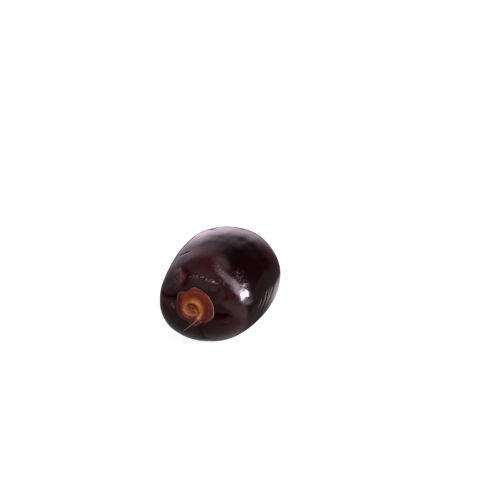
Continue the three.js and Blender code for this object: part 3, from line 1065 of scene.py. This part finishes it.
# Each tint lies over the ones before it.
CAP_TINTS = [
    ("bowl", (0.38, 0.056, 0.010)),
    ("fold", (0.20, 0.017, 0.020)),
    ("edge", (0.27, 0.16, 0.10)),
    # Painted highlight on the ridge.
    ("glow", (1.0, 0.34, 0.075)),
    ("scar", (0.52, 0.235, 0.10)),
    # Painted shade in the crevice and the pit.
    ("crevice", (0.20, 0.040, 0.008)),
    ("strand", (0.75, 0.34, 0.25)),
]
HUSK_PATCHES = (1.6, 0.2)
HUSK_SHEEN_PATCHES = (0.8, 0.3)
HUSK_ROUGHNESS = (0.28, 0.45)
# Grain size, detail, height and strength of the veins' bump.
VEINS = (0.35, 4.0, 0.06, 0.5)
cap_material, tree, shader = new_material("calyx_cap")
colour = mix_colours(tree, place_mottle(tree, *HUSK_PATCHES), HUSK_WINE, HUSK_RUST)
for mask_name, tint in CAP_TINTS:
    colour = mix_colours(tree, mask_of(tree, mask_name), colour, tint)
tree.links.new(colour, shader.inputs["Base Color"])
roughness = spread_values(tree, place_mottle(tree, *HUSK_SHEEN_PATCHES), *HUSK_ROUGHNESS)
tree.links.new(roughness, shader.inputs["Roughness"])
tree.links.new(grain_bump(tree, *VEINS), shader.inputs["Normal"])
set_inputs(shader, {
    "IOR": 1.38,
    "Subsurface Weight": 0.25,
    "Subsurface Radius": (1.0, 0.35, 0.12),
    "Subsurface Scale": 0.6 * MM,
})
cap.data.materials.append(cap_material)
print("cap material with", len(tree.nodes), "nodes")

# %% [markdown]
# The fibre is paler and pinker than the cap. It is only 0.15 mm thick, too thin to show more than
# an uneven tint, so it gets the mottle and nothing else.

# %% Fibre material
FIBRE_PINK = (0.60, 0.37, 0.32)
FIBRE_PALE = (0.80, 0.56, 0.49)
FIBRE_PATCHES = (1.0, 0.3)
fibre_material, tree, shader = new_material("calyx_fibre")
fibre_colour = mix_colours(tree, place_mottle(tree, *FIBRE_PATCHES), FIBRE_PINK, FIBRE_PALE)
tree.links.new(fibre_colour, shader.inputs["Base Color"])
set_inputs(shader, {"Roughness": 0.5})
fibre.data.materials.append(fibre_material)
print("fibre material with", len(tree.nodes), "nodes")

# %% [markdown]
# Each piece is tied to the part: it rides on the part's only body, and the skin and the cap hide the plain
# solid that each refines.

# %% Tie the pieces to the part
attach(skin, "root")
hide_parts("fruit")
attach(cap, "root")
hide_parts("calyx_cap")
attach(fibre, "root")
print("pieces tied")

# %% [markdown]
# The date lies on a plain white surface under soft studio light. The floor that the camera sees
# glows evenly, so that only the soft shadow near the date shows on it. The skin mustn't mirror that
# floor: a dark glossy fruit looks milky when everything round it is white. A photographer lays
# black and white cards out of the picture for this. Here the floor itself has two looks, and a
# Light Path node gives the white one to the camera and the one with the cards to all other rays.

# %% Floor
FLOOR_SIZE = 4.0
# Where the cards lie: the axis, where a share starts and ends to change in metres, and the share
# before and after that.
CARD_RAMPS = {
    "front strip starts": ("X", 0.014, 0.024, 0.0, 1.0),
    "front strip fades": ("X", 0.035, 0.08, 1.0, 0.35),
    "patch starts": ("Y", 0.006, 0.03, 0.03, 0.6),
    "patch ends": ("Y", 0.038, 0.055, 1.0, 0.02),
    "patch ends at the right": ("X", 0.018, 0.025, 1.0, 0.02),
    "sheen starts": ("X", 0.04, 0.08, 0.0, 1.0),
    "sheen ends at the back": ("Y", 0.022, 0.045, 1.0, 0.0),
    "right part": ("X", 0.002, 0.009, 0.0, 1.0),
    "back part": ("Y", -0.009, -0.003, 0.0, 1.0),
}
BLACK = (0.0, 0.0, 0.0)
CARD_DIM = (0.17, 0.16, 0.17)
CARD_GREY = (0.64, 0.61, 0.64)
CARD_WHITE = (1.08, 0.98, 0.98)
CARD_SHEEN = (1.9, 1.6, 1.8)
FLOOR_GLOW = (0.88, 0.88, 0.88)
FLOOR_SHADE_SEEN = (0.5, 0.5, 0.5)
FLOOR_SHADE_UNSEEN = (0.03, 0.03, 0.03)


def ramp_value(tree, value, from_low, from_high, to_low, to_high):
    """The value, eased from one number to another over a stretch of it."""
    node = tree.nodes.new("ShaderNodeMapRange")
    node.interpolation_type = "SMOOTHSTEP"
    for name, number in zip(("From Min", "From Max", "To Min", "To Max"),
                            (from_low, from_high, to_low, to_high)):
        node.inputs[name].default_value = number
    tree.links.new(value, node.inputs["Value"])
    return node.outputs["Result"]


def axis_ramps(tree, coordinate, ramps):
    """The share of each named ramp, along the axes of a coordinate."""
    axes = tree.nodes.new("ShaderNodeSeparateXYZ")
    tree.links.new(coordinate, axes.inputs["Vector"])
    return {name: ramp_value(tree, axes.outputs[axis], *numbers)
            for name, (axis, *numbers) in ramps.items()}


def floor_cards(tree):
    """The colour that the skin mirrors: a strip in front, and a patch and a sheen at the back."""
    coordinates = tree.nodes.new("ShaderNodeTexCoord")
    ramps = axis_ramps(tree, coordinates.outputs["Object"], CARD_RAMPS)
    strip = product(tree, ramps["front strip starts"], ramps["front strip fades"])
    front = mix_colours(tree, strip, CARD_DIM, CARD_GREY)
    patch = product(tree, ramps["patch starts"], ramps["patch ends"], ramps["patch ends at the right"])
    sheen = product(tree, ramps["sheen starts"], ramps["sheen ends at the back"])
    back = mix_colours(tree, sheen, mix_colours(tree, patch, BLACK, CARD_WHITE), CARD_SHEEN)
    return mix_colours(tree, product(tree, ramps["right part"], ramps["back part"]), front, back)


bm = bmesh.new()
bmesh.ops.create_grid(bm, x_segments=1, y_segments=1, size=FLOOR_SIZE / 2)
floor = to_object(bm, "floor")
floor_material, tree, shader = new_material("floor_white")
seen = tree.nodes.new("ShaderNodeLightPath").outputs["Is Camera Ray"]
floor_shade = mix_colours(tree, seen, FLOOR_SHADE_UNSEEN, FLOOR_SHADE_SEEN)
tree.links.new(floor_shade, shader.inputs["Base Color"])
floor_glow = mix_colours(tree, seen, floor_cards(tree), FLOOR_GLOW)
tree.links.new(floor_glow, shader.inputs["Emission Color"])
set_inputs(shader, {"Roughness": 0.9, "Specular IOR Level": 0.1, "Emission Strength": 1.0})
floor.data.materials.append(floor_material)
print("floor", FLOOR_SIZE, "m across")

# %% [markdown]
# The room round the date is seen only in its gloss. It is dim, with a faint fill in front and a
# bright wall behind at the left, which draws the pale band along the crown. Four soft glows climb
# from the key light to high in front, and the streak that runs up from the hot spot mirrors them. A
# fifth hangs high behind. Real lamps could do the same, but glows in the sky have softer edges.

# %% Backdrop
SKY_STRENGTH = 1.45
SKY_FILL = (0.36, 0.34, 0.36)
SKY_WALL = (2.3, 1.8, 2.15)
# Where the wall and the fill are: the axis of the direction, where a share starts and ends to
# change, and the share before and after that.
WALL_RAMPS = {
    "behind": ("Y", 0.05, 0.75, 0.0, 1.0),
    "low": ("Z", 0.3, 0.7, 1.0, 0.16),
    "at the left": ("X", -0.45, 0.2, 1.0, 0.0),
    "fades far left": ("X", -0.8, -0.5, 0.15, 1.0),
    "brighter above the horizon": ("Z", -0.1, 0.6, 0.35, 0.9),
}
FILL_RAMPS = {
    "in front": ("Y", -0.1, 0.4, 1.0, 0.1),
    "fades overhead": ("Z", 0.5, 0.95, 1.0, 0.3),
    "fades to the right": ("X", -0.1, 0.4, 1.0, 0.15),
}
# Soft glows on the right: azimuth, elevation, reach in degrees and colour.
GLOWS = [
    (45, 63, 24, (1.0, 0.82, 0.92)),
    (60, 46, 24, (1.9, 1.55, 1.75)),
    (75, 33, 20, (2.7, 2.2, 2.5)),
    (88, 20, 18, (5.0, 4.0, 4.6)),
    (140, 70, 26, (0.55, 0.47, 0.52)),
]


def toward(azimuth, elevation):
    """The direction of a place in the studio. Azimuth 0 is in front and 90 is to the right."""
    a, e = math.radians(azimuth), math.radians(elevation)
    return Vector((math.sin(a) * math.cos(e), -math.cos(a) * math.cos(e), math.sin(e)))


def add_glow(tree, direction, sky, azimuth, elevation, reach, colour):
    """The sky with a soft round glow in one direction."""
    nearness = tree.nodes.new("ShaderNodeVectorMath")
    nearness.operation = "DOT_PRODUCT"
    nearness.inputs[1].default_value = toward(azimuth, elevation)
    tree.links.new(direction, nearness.inputs[0])
    edge = math.cos(math.radians(reach))
    share = ramp_value(tree, nearness.outputs["Value"], edge, 1.0, 0.0, 1.0)
    return mix_colours(tree, share, sky, colour)


world = bpy.data.worlds.new("studio")
bpy.context.scene.world = world
world.use_nodes = True
tree = world.node_tree
tree.nodes.clear()
output = tree.nodes.new("ShaderNodeOutputWorld")
background = tree.nodes.new("ShaderNodeBackground")
background.inputs["Strength"].default_value = SKY_STRENGTH
direction = tree.nodes.new("ShaderNodeTexCoord").outputs["Generated"]
wall = product(tree, *axis_ramps(tree, direction, WALL_RAMPS).values())
fill = product(tree, *axis_ramps(tree, direction, FILL_RAMPS).values())
sky = mix_colours(tree, wall, mix_colours(tree, fill, BLACK, SKY_FILL), SKY_WALL)
for glow in GLOWS:
    sky = add_glow(tree, direction, sky, *glow)
tree.links.new(sky, background.inputs["Color"])
tree.links.new(background.outputs[0], output.inputs["Surface"])
print("backdrop with", len(GLOWS), "glows")

# %% [markdown]
# One key light makes the hot spot on the right shoulder. It is an oval softbox close to the table,
# because the hot spot is oval and lies where the skin mirrors a low place on the right. A point
# lamp would leave only a pinprick there, because gloss shows a lamp at its own size.

# %% Key light
KEY_AZIMUTH = 104.5
KEY_ELEVATION = 5.5
KEY_DISTANCE = 0.8
KEY_WIDTH = 0.58
KEY_HEIGHT = 0.28
KEY_POWER = 12.0
KEY_COLOUR = (1.0, 0.87, 0.97)
key_data = bpy.data.lights.new("key softbox", "AREA")
key_data.shape = "ELLIPSE"
key_data.size = KEY_WIDTH
key_data.size_y = KEY_HEIGHT
key_data.energy = KEY_POWER
key_data.color = KEY_COLOUR
key_light = bpy.data.objects.new("key softbox", key_data)
away = toward(KEY_AZIMUTH, KEY_ELEVATION)
key_light.location = away * KEY_DISTANCE
key_light.rotation_euler = away.to_track_quat("Z", "Y").to_euler()
bpy.context.scene.collection.objects.link(key_light)
print("key light at", [round(c, 2) for c in key_light.location])

# %% [markdown]
# The camera looks at the stem end from the front, a little from the right and from above. Its
# place is measured from the oval's centre, so it follows the part if the part's origin moves. The
# date isn't in the middle of the picture, so the camera is moved across and up without turning.

# %% Camera
VIEW_AZIMUTH = math.radians(19.47)
VIEW_ELEVATION = math.radians(16.75)
VIEW_DISTANCE = 330.0
VIEW_ACROSS = 6.27
VIEW_UP = 7.75
LENS = 99.06
SENSOR_WIDTH = 36.0
CLIP_START = 0.01
camera_data = bpy.data.cameras.new("camera")
camera_data.lens = LENS
camera_data.sensor_width = SENSOR_WIDTH
camera_data.clip_start = CLIP_START
camera = bpy.data.objects.new("camera", camera_data)
camera.rotation_euler = (math.pi / 2 - VIEW_ELEVATION, 0, VIEW_AZIMUTH)
facing = camera.rotation_euler.to_matrix()
offset = facing @ Vector((VIEW_ACROSS, VIEW_UP, VIEW_DISTANCE))
camera.location = (Vector(oval_centre) + offset) * MM
bpy.context.scene.collection.objects.link(camera)
bpy.context.scene.camera = camera
bpy.context.scene.view_settings.view_transform = "Standard"
print("camera at", [round(c, 3) for c in camera.location])
